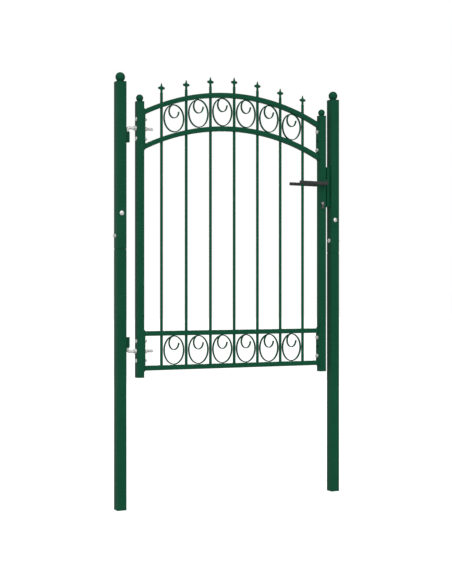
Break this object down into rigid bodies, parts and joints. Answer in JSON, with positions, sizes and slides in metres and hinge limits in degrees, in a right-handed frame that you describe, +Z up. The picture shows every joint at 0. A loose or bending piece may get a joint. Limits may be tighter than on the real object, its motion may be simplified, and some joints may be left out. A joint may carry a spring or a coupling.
{
  "type": "garden gate",
  "caption": "Arched garden gate of coated steel tube with bars, scrolls and spear finials, hung between two square posts with ball caps.",
  "frame": {"origin": "midway between the posts, at the level of their feet", "axes": "+Z up, +X from the hinge post to the lock post, -Y is the front side the gate is viewed from"},
  "size_m": [1.0758, 0.1, 1.8],
  "materials": {
    "green_coat": "satin",
    "zinc": "satin",
    "dark_lever": "satin",
    "nickel": "satin"
  },
  "bodies": {
    "posts": {"hinge_post_lower": "green_coat", "hinge_post_upper": "green_coat", "hinge_post_cap": "green_coat", "hinge_post_face_bolt": "zinc", "hinge_post_side_bolt": "zinc", "lock_post_lower": "green_coat", "lock_post_upper": "green_coat", "lock_post_cap": "green_coat", "lock_post_face_bolt": "zinc", "lock_post_side_bolt": "zinc", "upper_hinge_socket": "green_coat", "lower_hinge_socket": "green_coat", "lock_keep": "green_coat"},
    "leaf": {"hinge_stile": "green_coat", "hinge_stile_cap": "green_coat", "lock_stile": "green_coat", "lock_stile_cap": "green_coat", "lower_bottom_rail": "green_coat", "upper_bottom_rail": "green_coat", "lower_arch_rail": "green_coat", "top_arch_rail": "green_coat", "bar_1": "green_coat", "bar_2": "green_coat", "bar_3": "green_coat", "bar_4": "green_coat", "bar_5": "green_coat", "bar_6": "green_coat", "bar_7": "green_coat", "lower_scroll_1": "green_coat", "upper_scroll_1": "green_coat", "lower_scroll_2": "green_coat", "upper_scroll_2": "green_coat", "lower_scroll_3": "green_coat", "upper_scroll_3": "green_coat", "lower_scroll_4": "green_coat", "upper_scroll_4": "green_coat", "lower_scroll_5": "green_coat", "upper_scroll_5": "green_coat", "lower_scroll_6": "green_coat", "upper_scroll_6": "green_coat", "upper_hinge_plate": "green_coat", "upper_hinge_plate_bolt_top": "zinc", "upper_hinge_plate_bolt_bottom": "zinc", "upper_lock_plate": "green_coat", "upper_lock_plate_bolt_top": "zinc", "upper_lock_plate_bolt_bottom": "zinc", "lower_hinge_plate": "green_coat", "lower_hinge_plate_bolt_top": "zinc", "lower_hinge_plate_bolt_bottom": "zinc", "lower_lock_plate": "green_coat", "lower_lock_plate_bolt_top": "zinc", "lower_lock_plate_bolt_bottom": "zinc", "upper_hinge_hook": "zinc", "lower_hinge_hook": "zinc", "lock_case": "nickel"},
    "levers": {"front_handle": "dark_lever", "rear_handle": "dark_lever"},
    "latch": {"latch_bolt": "nickel"},
    "deadbolt": {"dead_bolt": "nickel"},
    "plug": {"key_plug": "nickel"}
  },
  "joints": [
    {"name": "leaf_swing", "type": "hinge", "parent": "posts", "child": "leaf", "pos_m": [-0.4745, 0, 1.098], "axis": [0, 0, 1], "range_deg": [-95, 95]},
    {"name": "handle_turn", "type": "hinge", "parent": "leaf", "child": "levers", "pos_m": [0.442, 0, 1.363], "axis": [0, -1, 0], "range_deg": [0, 45], "stiffness_Nm_per_rad": 1, "springref_deg": -28.65},
    {"name": "latch_slide", "type": "slide", "parent": "leaf", "child": "latch", "axis": [1, 0, 0], "range_m": [-0.0125, 0]},
    {"name": "plug_turn", "type": "hinge", "parent": "leaf", "child": "plug", "pos_m": [0.442, 0, 1.277], "axis": [0, 1, 0], "range_deg": [0, 360]},
    {"name": "dead_bolt_slide", "type": "slide", "parent": "leaf", "child": "deadbolt", "axis": [1, 0, 0], "range_m": [0, 0.012]}
  ],
  "couplings": [
    {"joint": "latch_slide", "follows": "handle_turn", "m_per_rad": -0.015279},
    {"joint": "plug_turn", "follows": "dead_bolt_slide", "rad_per_m": 523.5}
  ]
}
